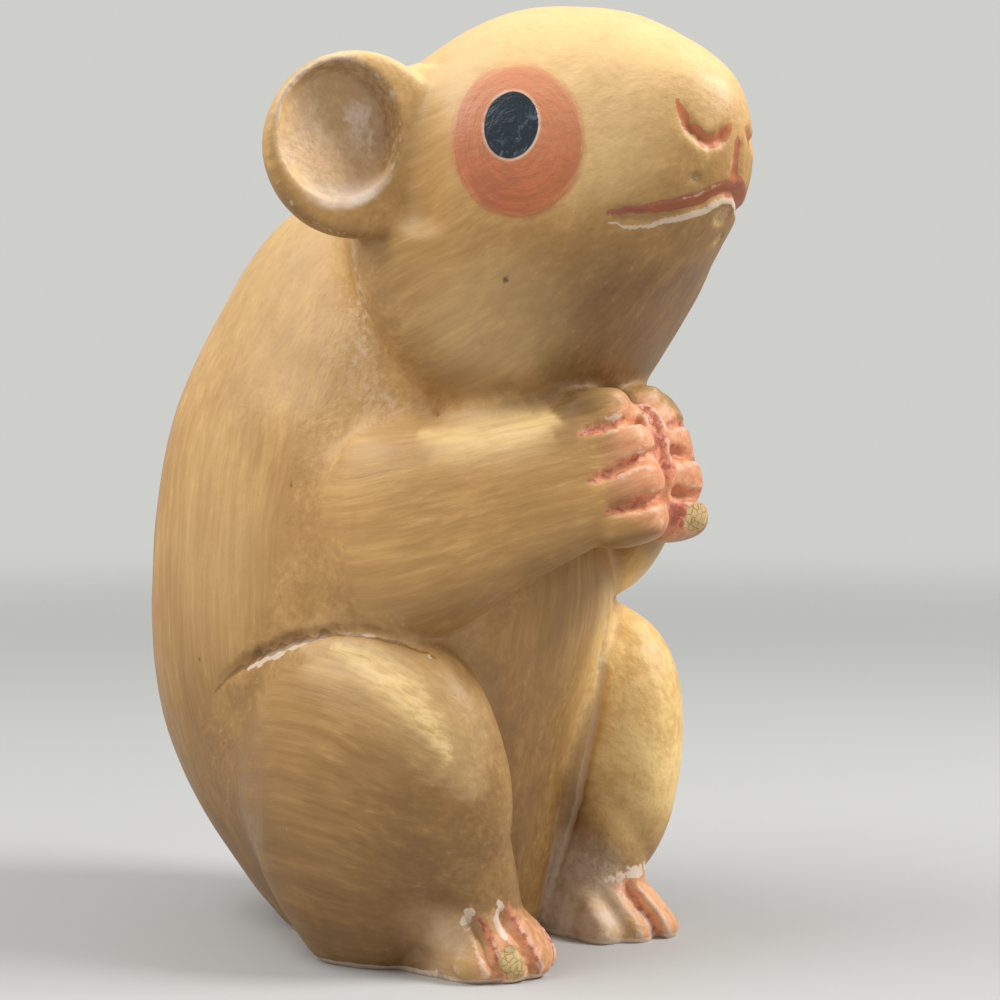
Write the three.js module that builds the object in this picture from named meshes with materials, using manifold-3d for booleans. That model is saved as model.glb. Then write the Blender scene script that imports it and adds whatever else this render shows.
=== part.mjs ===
// A painted wooden mouse, carved from one block. It sits up on its haunches, with its forepaws pressed
// together under a raised head. +Z is up, the mouse faces -Y, and the origin is on the ground, in the
// middle of the figure's box.
import * as THREE from "three";
import { mergeVertices } from "three/addons/utils/BufferGeometryUtils.js";
import Module from "manifold-3d";

// The height from the ground to the crown, in millimetres. Pose, proportions and carving are set out
// in hundredths of this height.
const FIGURE_HEIGHT = 280;

// The paint as a whole: golden ochre with a soft shine.
const PAINT = { color: 0xc79a52, roughness: 0.45, metalness: 0 };

// How far each ear is turned from the front towards its side.
const EAR_TURN = THREE.MathUtils.degToRad(35);

const wasm = await Module();
wasm.setup();

// Smooth run of a size through stations spaced evenly along a form.
function sizeAlong(stations) {
  if (typeof stations === "number") return () => stations;
  const run = new THREE.SplineCurve(stations.map((size, i) => new THREE.Vector2(i, size)));
  return (t) => run.getPoint(t).y;
}

// How much of its full section a form has at t, when each end is rounded over its share of the length.
function roundedEnds(t, [startShare, endShare]) {
  const near = (distance, share) => Math.sqrt(1 - (1 - Math.min(distance / share, 1)) ** 2);
  return near(t, startShare) * near(1 - t, endShare);
}

// A rounded form around a spine. side is the direction of its width; width is the half-width, and
// over and under are the half-heights on the two sides of the spine, each given at even stations.
// square is 2 for an oval section and more for a boxier one.
function roundedForm({ spine, side = [1, 0, 0], width, over, under = over, ends = [0.5, 0.5], square = 2 }) {
  const line = new THREE.CatmullRomCurve3(spine.map((p) => new THREE.Vector3(...p)));
  const across = new THREE.Vector3(...side);
  const [widthAt, overAt, underAt] = [width, over, under].map(sizeAlong);
  return (t, cos, sin) => {
    const along = line.getTangent(t);
    const right = across.clone().addScaledVector(along, -across.dot(along)).normalize();
    const up = along.clone().cross(right);
    const oval = (Math.abs(cos) ** square + Math.abs(sin) ** square) ** (1 / square);
    const full = roundedEnds(t, ends) / oval;
    return line
      .getPoint(t)
      .addScaledVector(right, cos * full * widthAt(t))
      .addScaledVector(up, sin * full * (sin > 0 ? overAt(t) : underAt(t)));
  };
}

// The form as a closed mesh, drawn over a sphere's own grid of points.
function drawForm(form, around, along) {
  const geometry = new THREE.SphereGeometry(1, around, along);
  const position = geometry.getAttribute("position");
  for (let i = 0; i < position.count; i++) {
    const [x, y, z] = [position.getX(i), position.getY(i), position.getZ(i)];
    const ring = Math.hypot(x, z);
    const [cos, sin] = ring > 1e-9 ? [x / ring, z / ring] : [1, 0];
    const p = form((1 - y) / 2, cos, sin);
    position.setXYZ(i, p.x, p.y, p.z);
  }
  return geometry;
}

function solid(geometry) {
  const bare = geometry.clone();
  bare.deleteAttribute("normal");
  bare.deleteAttribute("uv");
  const merged = mergeVertices(bare, 1e-4);
  return new wasm.Manifold(
    new wasm.Mesh({
      numProp: 3,
      vertProperties: merged.getAttribute("position").array,
      triVerts: new Uint32Array(merged.index.array),
    }),
  );
}

const formSolid = (shape, around, along) => solid(drawForm(roundedForm(shape), around, along));
const join = (solids) => solids.reduce((a, b) => a.add(b));
const bothSides = (near) => [near, near.mirror([1, 0, 0])];

// The round back, the shoulders and the belly, from below the ground up into the head.
function torso() {
  return formSolid(
    {
      spine: [[0, 3, -8], [0, 7.5, 8], [0, 11, 24], [0, 11.7, 40], [0, 10.8, 55], [0, 8, 69], [0, 2, 83]],
      width: [8, 16, 21.2, 22.2, 21, 15.7, 13],
      over: [7, 18.6, 26.6, 27.2, 24.5, 19.1, 14],
      under: [12, 18, 24.5, 27.5, 23, 15.5, 12],
      ends: [0.08, 0.2],
      square: 2.15,
    },
    30,
    22,
  );
}

// The head is one big egg with full jowls, tapering to the raised snout.
const headForm = roundedForm({
  spine: [[0, 9, 73], [0, -36.1, 89.9]],
  width: [15.8, 18.3, 19.3, 17.4, 10.7, 9],
  over: [11.1, 15.8, 17.7, 17.8, 13.5, 8.9],
  under: [25.4, 26.2, 24.5, 18.8, 14, 12.9],
  ends: [0.28, 0.25],
  square: 2.15,
});

const head = () => solid(drawForm(headForm, 30, 22));

// A tapering groove cut along the head's skin. Each stop is a share of the head's length, and an
// angle in degrees that is 0 at the near cheek and -90 under the chin.
function headGroove(stops, radius) {
  const spine = stops.map(([share, angle]) => {
    const turn = THREE.MathUtils.degToRad(180 - angle);
    return headForm(share, Math.cos(turn), Math.sin(turn)).toArray();
  });
  return formSolid({ spine, side: [0, 0.5, 1], width: radius, over: radius, ends: [0.5, 0.5] }, 8, 3 * stops.length);
}

// The mouth runs from cheek to cheek under the snout, and a short groove joins it to the nose.
function mouth() {
  const half = [[0.756, -33], [0.79, -41], [0.835, -49], [0.893, -64]];
  const farHalf = half.map(([share, angle]) => [share, -180 - angle]).reverse();
  return headGroove([...half, [0.935, -90], ...farHalf], 0.75);
}

const philtrum = () => headGroove([[0.94, -90], [0.962, -90], [0.985, -90]], 0.6);

// Each nostril is a groove in the shape of a U.
const nostril = () => headGroove([[0.942, 4], [0.948, -22], [0.962, -42], [0.98, -53], [0.99, -62]], 0.55);

// The folded hind leg: a broad thigh along the flank, and the shin that drops from the knee.
function leg() {
  const thigh = formSolid(
    {
      spine: [[-10.6, 18, 17], [-15.8, 0, 18], [-13.6, -17.6, 13.5]],
      width: [8.5, 9.7, 6.2],
      over: [14, 19.2, 13],
      under: [14, 19.4, 17],
      ends: [0.4, 0.3],
      square: 2.1,
    },
    20,
    14,
  );
  const shin = formSolid(
    {
      spine: [[-14, -8.5, 26], [-13.2, -11.6, 11], [-11.8, -14, -4]],
      width: [4.2, 5, 5.4],
      over: [6, 6, 5],
      under: [7.5, 8.2, 7],
      ends: [0.4, 0.1],
    },
    18,
    10,
  );
  return thigh.add(shin);
}

// The arm runs forward from the shoulder to the back of the hand.
function arm() {
  return formSolid(
    {
      spine: [[-9, 13, 46.5], [-15.3, -4, 46], [-9.6, -17.5, 50], [-3.4, -27, 53.4]],
      width: [5, 6.3, 4.2, 3],
      over: [10, 10.6, 8.4, 7],
      under: [10, 12.6, 8.8, 6.6],
      ends: [0.3, 0.16],
      square: 2.2,
    },
    20,
    14,
  );
}

// The palm, a boxy form that the fingers are set into.
function palm() {
  return formSolid(
    {
      spine: [[-7.5, -17, 51.6], [-4.4, -21.6, 52.2], [-3, -25.6, 52]],
      width: [2.4, 3, 2.2],
      over: [5, 6.2, 5.2],
      ends: [0.4, 0.2],
      square: 2.6,
    },
    12,
    8,
  );
}

// The palms meet in a web, so that the gap between the two rows of fingertips is shallow.
function palmWeb() {
  return formSolid(
    { spine: [[0, -24.4, 59], [0, -26.2, 53], [0, -26.4, 45.6]], width: 2.4, over: 2, ends: [0.3, 0.3] },
    10,
    8,
  );
}

// Four fingers lie one above the other and meet those of the other hand at the middle. Each is a
// boxy plank, so that only a shallow groove parts it from its neighbour.
const FINGERS = 4;
function fingers() {
  return Array.from({ length: FINGERS }, (_, i) => {
    const down = i / (FINGERS - 1);
    const knuckle = THREE.MathUtils.lerp(57.6, 46.7, down);
    const tip = THREE.MathUtils.lerp(58.3, 47.9, down);
    const reach = 26.2 + 3.6 * Math.sin((down * Math.PI) / 2) - Math.max(0, 1 - 5 * down);
    return formSolid(
      {
        spine: [[-5.2, 8 - reach, knuckle - 0.6], [-4.6, 3.6 - reach, knuckle + 0.1], [-1.9, -reach, tip]],
        width: [2.4, 3.2, 2.4],
        over: [2.2, 2.6, 2.2],
        ends: [0.4, 0.2],
        square: 3,
      },
      12,
      8,
    );
  });
}

// Frame of an ear: its facing, and the points set out from its middle.
const earFacing = new THREE.Vector3(-Math.sin(EAR_TURN), -Math.cos(EAR_TURN), 0);
const earSide = new THREE.Vector3(-earFacing.y, earFacing.x, 0);
const earMiddle = new THREE.Vector3(-20.7, -4, 85);
function earPoint(forward, inward) {
  return earMiddle.clone().addScaledVector(earFacing, forward).addScaledVector(earSide, inward).toArray();
}

// A round saucer that grows thicker towards its root at the side of the head.
function ear() {
  const side = earSide.toArray();
  const saucer = formSolid(
    { spine: [earPoint(-3, 0), earPoint(2.2, 0)], side, width: 9.5, over: 9.5, ends: [0.9, 0.2] },
    24,
    8,
  );
  const root = formSolid(
    { spine: [earPoint(-4, 7), earPoint(2.4, 7)], side, width: 5, over: 8.5, ends: [0.5, 0.4] },
    12,
    6,
  );
  return saucer.add(root);
}

// The bowl of the ear lies outwards of its middle and above it, so that the rim is thicker below.
function earBowl() {
  const spine = [earPoint(-1, -2.3), earPoint(6, -2.3)].map(([x, y, z]) => [x, y, z + 1.2]);
  return formSolid({ spine, side: earSide.toArray(), width: 6.5, over: 7.2 }, 18, 8);
}

// The foot is a steep wedge. Its toes fan out round the ankle, from the outer side to the inner one.
const TOES = 4;
const ankle = new THREE.Vector3(-11.5, -14, 0);
function foot() {
  const sole = formSolid(
    {
      spine: [[-12, -4, 2], [-11.8, -18.4, 1.6]],
      width: [5.2, 5.6, 4.6],
      over: [5, 7.8, 5.4],
      under: 8,
      ends: [0.3, 0.4],
      square: 2.3,
    },
    16,
    8,
  );
  const toes = Array.from({ length: TOES }, (_, i) => {
    const turn = THREE.MathUtils.degToRad(64 - 36.7 * i);
    const [outward, forward] = [-Math.sin(turn), -Math.cos(turn)];
    const stops = [[1.2, 7], [4.2, 3.9], [6.3, 0.2]];
    return formSolid(
      {
        spine: stops.map(([out, up]) => [ankle.x + outward * out, ankle.y + forward * out, up]),
        side: [-forward, outward, 0],
        width: [1.3, 2, 2.4],
        over: [1.2, 1.7, 1.8],
        under: 4,
        ends: [0.3, 0.24],
        square: 3,
      },
      10,
      8,
    );
  });
  return join([sole, ...toes]);
}

function ground() {
  return solid(new THREE.BoxGeometry(200, 200, 60).translate(0, 0, -30));
}

function carveMouse() {
  const whole = join([
    torso(),
    head(),
    ...bothSides(leg()),
    ...bothSides(join([arm(), palm(), ...fingers()])),
    palmWeb(),
    ...bothSides(ear()),
    ...bothSides(foot()),
  ]);
  const cuts = [...bothSides(earBowl()), mouth(), philtrum(), ...bothSides(nostril()), ground()];
  return cuts.reduce((figure, cut) => figure.subtract(cut), whole);
}

// The carved solid as a geometry at real size, with the origin in the middle of its box on the ground.
function atRealSize(carved) {
  const { numProp, numVert, vertProperties, triVerts } = carved.getMesh();
  const points = new Float32Array(3 * numVert);
  for (let i = 0; i < numVert; i++) {
    points.set(vertProperties.subarray(i * numProp, i * numProp + 3), 3 * i);
  }
  const geometry = new THREE.BufferGeometry();
  geometry.setAttribute("position", new THREE.BufferAttribute(points, 3));
  geometry.setIndex(new THREE.BufferAttribute(triVerts, 1));
  geometry.computeBoundingBox();
  const { min, max } = geometry.boundingBox;
  geometry.translate(-(min.x + max.x) / 2, -(min.y + max.y) / 2, -min.z);
  const scale = FIGURE_HEIGHT / (max.z - min.z);
  return geometry.scale(scale, scale, scale);
}

const mouse = new THREE.Mesh(atRealSize(carveMouse()), new THREE.MeshStandardMaterial(PAINT));
mouse.name = "mouse";

const figurine = new THREE.Group();
figurine.add(mouse);
export default figurine;
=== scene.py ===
"""A painted wooden mouse, carved from one block. It sits on its haunches with its forepaws together.

Everything is in metres, +Z is up, and the mouse faces -Y. The carving is set out in hundredths of the
height of the frame's box, like the frame's own solid, and its near side is the one towards -X.
"""

import math

import bmesh
import bpy
import numpy as np
from bpy.props import FloatProperty, FloatVectorProperty, IntProperty, PointerProperty
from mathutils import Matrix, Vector, noise
from mathutils.kdtree import KDTree


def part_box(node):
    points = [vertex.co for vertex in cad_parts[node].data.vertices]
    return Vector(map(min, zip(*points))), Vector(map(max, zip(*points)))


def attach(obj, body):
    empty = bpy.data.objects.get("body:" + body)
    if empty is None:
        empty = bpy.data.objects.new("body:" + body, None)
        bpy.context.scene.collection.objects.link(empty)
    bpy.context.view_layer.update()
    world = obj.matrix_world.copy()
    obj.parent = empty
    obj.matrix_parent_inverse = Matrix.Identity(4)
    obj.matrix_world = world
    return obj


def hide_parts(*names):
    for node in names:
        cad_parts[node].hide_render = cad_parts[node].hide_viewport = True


bl_info = {
    "name": "Painted wooden mouse",
    "version": (1, 0, 0),
    "blender": (4, 5, 0),
    "location": "3D View > Sidebar > Mouse",
    "description": "Carves and paints a wooden mouse figurine inside its frame",
    "category": "Object",
}

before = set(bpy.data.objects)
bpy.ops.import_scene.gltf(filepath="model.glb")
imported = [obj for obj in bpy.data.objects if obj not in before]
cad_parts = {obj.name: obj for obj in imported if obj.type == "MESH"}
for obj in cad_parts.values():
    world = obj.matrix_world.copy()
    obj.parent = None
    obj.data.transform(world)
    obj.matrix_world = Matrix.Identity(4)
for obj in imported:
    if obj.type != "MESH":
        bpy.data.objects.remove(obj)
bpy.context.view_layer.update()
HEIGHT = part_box("mouse")[1].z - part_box("mouse")[0].z

# The carving's own middle from front to back, and its crown, in hundredths of the height.
MIDDLE_Y = 1.12
CROWN_Z = 99.89


# Forms: each is a closed oval skin around a spine, drawn over a sphere's points.


def spread(points, t):
    """The index and remainder of each t on a run of evenly spaced points."""
    place = (len(points) - 1) * np.clip(t, 0, 1)
    first = np.minimum(np.floor(place).astype(int), len(points) - 2)
    return first, place - first


def size_along(stations, t):
    """Smooth run of a size through evenly spaced stations."""
    if np.isscalar(stations):
        return np.full(len(t), float(stations))
    sizes = np.asarray(stations, float)
    first, rest = spread(sizes, t)
    padded = np.concatenate([sizes[:1], sizes, sizes[-1:]])
    before, here, there, after = (padded[first + k] for k in range(4))
    leave, arrive = (there - before) / 2, (after - here) / 2
    bend = (2 * here - 2 * there + leave + arrive) * rest + (3 * there - 3 * here - 2 * leave - arrive)
    return (bend * rest + leave) * rest + here


def line_along(spine, t):
    """Points on a smooth line through the spine's own points, centripetal so that it doesn't loop."""
    spine = np.asarray(spine, float)
    first, rest = spread(spine, t)
    padded = np.vstack([2 * spine[0] - spine[1], spine, 2 * spine[-1] - spine[-2]])
    before, here, there, after = (padded[first + k] for k in range(4))
    steps = ((before, here), (here, there), (there, after))
    gaps = [np.linalg.norm(b - a, axis=1)[:, None] ** 0.5 for a, b in steps]
    leave = (here - before) / gaps[0] - (there - before) / (gaps[0] + gaps[1]) + (there - here) / gaps[1]
    arrive = (there - here) / gaps[1] - (after - here) / (gaps[1] + gaps[2]) + (after - there) / gaps[2]
    leave, arrive, rest = leave * gaps[1], arrive * gaps[1], rest[:, None]
    bend = (2 * here - 2 * there + leave + arrive) * rest + (3 * there - 3 * here - 2 * leave - arrive)
    return (bend * rest + leave) * rest + here


def rounded_ends(t, ends):
    """How much of its full section a form has at t, each end rounded over its share of the length."""
    near, far = (np.sqrt(1 - (1 - np.minimum(d / share, 1)) ** 2) for d, share in zip((t, 1 - t), ends))
    return near * far


class Form:
    """A rounded form around a spine, with half-widths, and half-heights over and under the spine."""

    def __init__(self, spine, width, over, under=None, side=(1, 0, 0), ends=(0.5, 0.5), square=2.0):
        self.spine, self.width, self.over = spine, width, over
        self.under = over if under is None else under
        self.side, self.ends, self.square = np.array(side, float), ends, square

    def axes(self, t):
        step = 1e-4
        along = line_along(self.spine, np.minimum(t + step, 1))
        along -= line_along(self.spine, np.maximum(t - step, 0))
        along /= np.linalg.norm(along, axis=1)[:, None]
        right = self.side - along * (along @ self.side)[:, None]
        right /= np.linalg.norm(right, axis=1)[:, None]
        return along, right, np.cross(along, right)

    def skin(self, t, cos, sin):
        t, cos, sin = (np.atleast_1d(np.asarray(a, float)) for a in (t, cos, sin))
        _, right, up = self.axes(t)
        oval = (np.abs(cos) ** self.square + np.abs(sin) ** self.square) ** (1 / self.square)
        full = rounded_ends(t, self.ends) / oval
        rise = np.where(sin > 0, size_along(self.over, t), size_along(self.under, t))
        reach = cos * full * size_along(self.width, t)
        return line_along(self.spine, t) + right * reach[:, None] + up * (sin * full * rise)[:, None]

    def at(self, stops):
        """Points on the skin. Each stop is a share of the length and an angle: 0 near side, -90 under."""
        stops = np.asarray(stops, float)
        turn = np.radians(180 - stops[:, 1])
        return self.skin(stops[:, 0], np.cos(turn), np.sin(turn))

    def mirrored(self):
        """The same form on the far side."""
        spine = [[-p[0], *p[1:]] for p in self.spine]
        side = self.side * [-1, 1, 1]
        return Form(spine, self.width, self.over, self.under, side, self.ends, self.square)


TORSO = Form(
    spine=[[0, 3, -8], [0, 7.5, 8], [0, 11, 24], [0, 11.7, 40], [0, 10.8, 55], [0, 8, 69], [0, 2, 83]],
    width=[8, 16, 21.2, 22.2, 21, 15.7, 13],
    over=[7, 18.6, 26.6, 27.2, 24.5, 19.1, 14],
    under=[12, 18, 24.5, 27.5, 23, 15.5, 12],
    ends=(0.08, 0.2),
    square=2.15,
)
HEAD = Form(
    spine=[[0, 9, 73], [0, -36.1, 89.9]],
    width=[15.8, 18.3, 19.3, 17.4, 10.7, 9],
    over=[11.1, 15.8, 17.7, 17.8, 13.5, 8.9],
    under=[25.4, 26.2, 24.5, 18.8, 14, 12.9],
    ends=(0.28, 0.25),
    square=2.15,
)
THIGH = Form(
    spine=[[-10.6, 18, 17], [-15.8, 0, 18], [-13.6, -17.6, 13.5]],
    width=[8.5, 9.7, 6.2],
    over=[14, 19.2, 13],
    under=[14, 19.4, 17],
    ends=(0.4, 0.3),
    square=2.1,
)
SHIN = Form(
    spine=[[-14, -8.5, 26], [-13.2, -11.6, 11], [-11.8, -14, -4]],
    width=[4.2, 5, 5.4],
    over=[6, 6, 5],
    under=[7.5, 8.2, 7],
    ends=(0.4, 0.1),
)
FAR_SHIN = Form(
    spine=[[13.6, -8, 26], [12, -9.6, 11], [10.6, -11.6, -4]],
    width=[4.2, 4.6, 4.8],
    over=[6, 6, 5],
    under=[7, 7, 6],
    ends=(0.4, 0.1),
)
ARM = Form(
    spine=[[-9, 13, 46.5], [-15.3, -4, 46], [-9.6, -17.5, 50], [-3.4, -27, 53.4]],
    width=[5, 6.3, 4.2, 3],
    over=[10, 10.6, 8.4, 7],
    under=[10, 12.6, 8.8, 6.6],
    ends=(0.3, 0.16),
    square=2.2,
)
FAR_ARM = Form(
    spine=[[9, 13, 46.5], [15.3, -4, 47.4], [9.6, -17.5, 51.4], [3.4, -27, 53.6]],
    width=ARM.width,
    over=ARM.over,
    under=[10, 12, 8, 6.4],
    ends=ARM.ends,
    square=ARM.square,
)
SOLE = Form(
    spine=[[-12, -4, 2], [-11.8, -18.4, 1.6]],
    width=[5.2, 5.6, 4.6],
    over=[5, 7.8, 5.4],
    under=8,
    ends=(0.3, 0.4),
    square=2.3,
)
FAR_SOLE = Form(
    spine=[[12, -4, 2], [10.8, -16.6, 1.4]],
    width=[5.2, 5.6, 4.6],
    over=[5, 7, 4.4],
    under=8,
    ends=(0.3, 0.4),
    square=2.3,
)
# Fills the gap under the belly, so that it comes down to the ground between the feet.
BELLY_FOOT = Form(spine=[[0, -1, 9], [0, -2, -8]], width=[9, 10.5], over=4, ends=(0.3, 0.1))
PALM = Form(
    spine=[[-7.5, -17, 51.6], [-4.4, -21.6, 52.2], [-3, -25.6, 52]],
    width=[2.4, 3, 2.2],
    over=[5, 6.2, 5.2],
    ends=(0.4, 0.2),
    square=2.6,
)
PALM_WEB = Form(
    spine=[[0, -24.4, 59], [0, -26.2, 53], [0, -26.4, 45.6]],
    width=2.4,
    over=2,
    ends=(0.3, 0.3),
)


def finger(down, short=0.0):
    """One finger of the near hand. down is 0 for the top one and 1 for the lowest."""
    knuckle, tip = 57.6 - 10.9 * down, 58.3 - 10.4 * down
    reach = 26.2 + 3.6 * math.sin(down * math.pi / 2) - max(0, 1 - 5 * down) - short
    return Form(
        spine=[[-5.2, 8 - reach, knuckle - 0.6], [-4.6, 3.6 - reach, knuckle + 0.1], [-1.9, -reach, tip]],
        width=[2.4, 3.2, 2.4],
        over=[2.2, 2.6, 2.2],
        ends=(0.4, 0.2),
        square=3,
    )


# The toes of the near foot fan out round the ankle. An angle is 0 to the front and 90 to the outer side.
ANKLE = np.array([-11.5, -14.0, 0.0])


def from_ankle(angle, out, up):
    turn = math.radians(angle)
    return ANKLE + [-math.sin(turn) * out, -math.cos(turn) * out, up]


def toe(angle):
    """One toe of the near foot."""
    turn = math.radians(angle)
    return Form(
        spine=[from_ankle(angle, *stop) for stop in ((1.2, 7), (4.2, 3.9), (6.3, 0.2))],
        side=(math.cos(turn), -math.sin(turn), 0),
        width=[1.6, 2.3, 2.7],
        over=[1.2, 1.5, 1.6],
        under=4,
        ends=(0.3, 0.24),
        square=3,
    )


def plank(root, tip):
    """One toe of the far foot, a long flat plank from its root on the instep down to its tip."""
    root, tip = np.array(root, float), np.array(tip, float)
    along = (tip - root)[:2] / np.linalg.norm((tip - root)[:2])
    return Form(
        spine=[root, (root + tip) / 2 + [0, 0, 0.2], tip],
        side=(-along[1], along[0], 0),
        width=[1.7, 2.4, 2.7],
        over=[1, 1.3, 1.3],
        under=4,
        ends=(0.3, 0.2),
        square=3,
    )


TOE_ANGLES = [64 - 36.7 * i for i in range(4)]
FINGERS = [finger(i / 3) for i in range(4)]
FAR_FINGERS = [finger(i / 3, 1.3 - 0.25 * i).mirrored() for i in range(4)]
TOES = [toe(angle) for angle in TOE_ANGLES]
FAR_TOES = [
    plank([13.6, -12.4, 6.2], [16.8, -16.2, 0]),
    plank([11.6, -13.6, 6.4], [14.3, -18.9, -0.2]),
    plank([9.4, -13, 5.8], [10.7, -18.2, -0.2]),
    plank([7.6, -12, 4.6], [7.6, -16.4, -0.2]),
]

# The ear is turned out from the front. Its bowl lies a little outwards of its middle.
EAR_TURN = math.radians(35)
EAR_MIDDLE = np.array([-20.7, -4.0, 85.0])
EAR_FACING = np.array([-math.sin(EAR_TURN), -math.cos(EAR_TURN), 0.0])
EAR_SIDE = np.array([math.cos(EAR_TURN), -math.sin(EAR_TURN), 0.0])
EAR_ROOT = Form(
    spine=[EAR_MIDDLE - 4 * EAR_FACING + 7 * EAR_SIDE, EAR_MIDDLE + 2.2 * EAR_FACING + 7 * EAR_SIDE],
    side=EAR_SIDE,
    width=5,
    over=8.5,
    ends=(0.5, 0.4),
)


def to_metres(points):
    return (np.asarray(points, float) - [0, MIDDLE_Y, 0]) * (HEIGHT / CROWN_Z)


def to_forms(points):
    return np.asarray(points, float) * (CROWN_Z / HEIGHT) + [0, MIDDLE_Y, 0]


class Block:
    """The forms gathered in one mesh, each drawn over a sphere's own points."""

    def __init__(self):
        self.bm = bmesh.new()
        self.points = []
        self.spheres = {}

    def sphere(self, around, along):
        if (around, along) not in self.spheres:
            bm = bmesh.new()
            bmesh.ops.create_uvsphere(bm, u_segments=around, v_segments=along, radius=1)
            mesh = bpy.data.meshes.new("sphere")
            bm.to_mesh(mesh)
            bm.free()
            place = np.array([v.co[:] for v in mesh.vertices])
            ring = np.hypot(place[:, 0], place[:, 1])
            pole = ring < 1e-6
            ring[pole] = 1
            cos, sin = place[:, 0] / ring, place[:, 1] / ring
            cos[pole] = 1
            self.spheres[around, along] = mesh, (1 - place[:, 2]) / 2, cos, sin
        return self.spheres[around, along]

    def add(self, around, along, place):
        """Adds a sphere with its points moved to place(share from pole to pole, cos, sin)."""
        mesh, t, cos, sin = self.sphere(around, along)
        self.bm.from_mesh(mesh)
        self.points.append(place(t, cos, sin))

    def form(self, form, around=96, along=72):
        self.add(around, along, form.skin)

    def mesh(self):
        mesh = bpy.data.meshes.new("carving")
        self.bm.to_mesh(mesh)
        self.bm.free()
        for sphere in self.spheres.values():
            bpy.data.meshes.remove(sphere[0])
        place = to_metres(np.vstack(self.points))
        mesh.vertices.foreach_set("co", place.astype(np.float32).ravel())
        bm = bmesh.new()
        bm.from_mesh(mesh)
        bmesh.ops.recalc_face_normals(bm, faces=bm.faces)
        bm.to_mesh(mesh)
        bm.free()
        return mesh


# The ear's profile from the middle of its back, round the rim and over its face: radius, then depth
# along its facing.
EAR_FACE = 2.3
EAR_PROFILE = [
    *([0, -3.1], [5, -3], [8.1, -2.3], [9.4, -0.7], [9.5, 0.9], [9.2, 2]),
    *([radius, EAR_FACE] for radius in (7.6, 4, 0)),
]

# The bowl in the ear's face: its middle and half-widths inwards and upwards, and its depth. The floor
# slopes from the outer rim, which it just reaches, down to a steep wall on the inner side.
BOWL_MIDDLE, BOWL_SIZE = (-2.3, 1.2), (6.6, 7.3)
BOWL_FLOOR, BOWL_SLOPE, BOWL_ROUND = -0.9, (-0.27, -0.1), 0.9


def ear_skin(mirror):
    rings = np.asarray(EAR_PROFILE, float)

    def place(t, cos, sin):
        around = np.arccos(1 - 2 * t) / math.pi
        radius, depth = (size_along(rings[:, k], around) for k in range(2))
        radius = np.maximum(radius, 0)
        points = EAR_MIDDLE + EAR_FACING * depth[:, None] + EAR_SIDE * (radius * cos)[:, None]
        points[:, 2] += radius * sin
        return points * [mirror, 1, 1]

    return place


def ear_place(points, mirror):
    """The points as seen from the ear: depth along its facing, and place inwards and upwards."""
    off = points * [mirror, 1, 1] - EAR_MIDDLE
    return off @ EAR_FACING, off @ EAR_SIDE, off[:, 2]


def bowl_reach(inward, upward):
    """0 at the middle of the bowl and 1 at its edge."""
    off = (inward - BOWL_MIDDLE[0], upward - BOWL_MIDDLE[1])
    return np.hypot(off[0] / BOWL_SIZE[0], off[1] / BOWL_SIZE[1])


def carve_ears(points):
    """Flattens the cheek next to each ear into the ear's face, and carves the bowl into that face."""
    for mirror in (1, -1):
        depth, inward, upward = ear_place(points, mirror)
        beside = (inward > 0) & (inward < 10) & (np.abs(upward) < 10) & (depth > EAR_FACE) & (depth < 12)
        flat = beside * (1 - ease(inward, 4.4, 8.6)) * (1 - ease(np.abs(upward), 7, 10))
        moved = EAR_FACE + (depth - EAR_FACE) * (1 - flat)
        new = np.where(beside, moved, depth)
        reach = bowl_reach(inward, upward)
        floor = BOWL_FLOOR + BOWL_SLOPE[0] * (inward - BOWL_MIDDLE[0])
        floor += BOWL_SLOPE[1] * (upward - BOWL_MIDDLE[1])
        floor = floor + BOWL_ROUND * reach**2 + 6 * ease(reach, 0.84, 1.06)
        inside = (reach < 1.06) & (depth > -1) & (depth < 8)
        new = np.where(inside, np.minimum(new, np.maximum(floor, -2.2)), new)
        points += EAR_FACING * (new - depth)[:, None] * [mirror, 1, 1]


def carve_forms():
    """All the forms in one mesh, still overlapping."""
    block = Block()
    block.form(TORSO, 128, 96)
    block.form(HEAD, 128, 96)
    for form in (THIGH, PALM, EAR_ROOT):
        block.form(form)
        block.form(form.mirrored())
    for form in (SHIN, FAR_SHIN, SOLE, FAR_SOLE, BELLY_FOOT, PALM_WEB, ARM, FAR_ARM):
        block.form(form)
    for form in FINGERS + FAR_FINGERS + TOES + FAR_TOES:
        block.form(form, 40, 28)
    block.add(96, 72, ear_skin(1))
    block.add(96, 72, ear_skin(-1))
    return block.mesh()


def baked(obj, name):
    """The object's mesh with its modifiers applied, as a new mesh."""
    graph = bpy.context.evaluated_depsgraph_get()
    mesh = bpy.data.meshes.new_from_object(obj.evaluated_get(graph), depsgraph=graph)
    mesh.name = name
    return mesh


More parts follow.
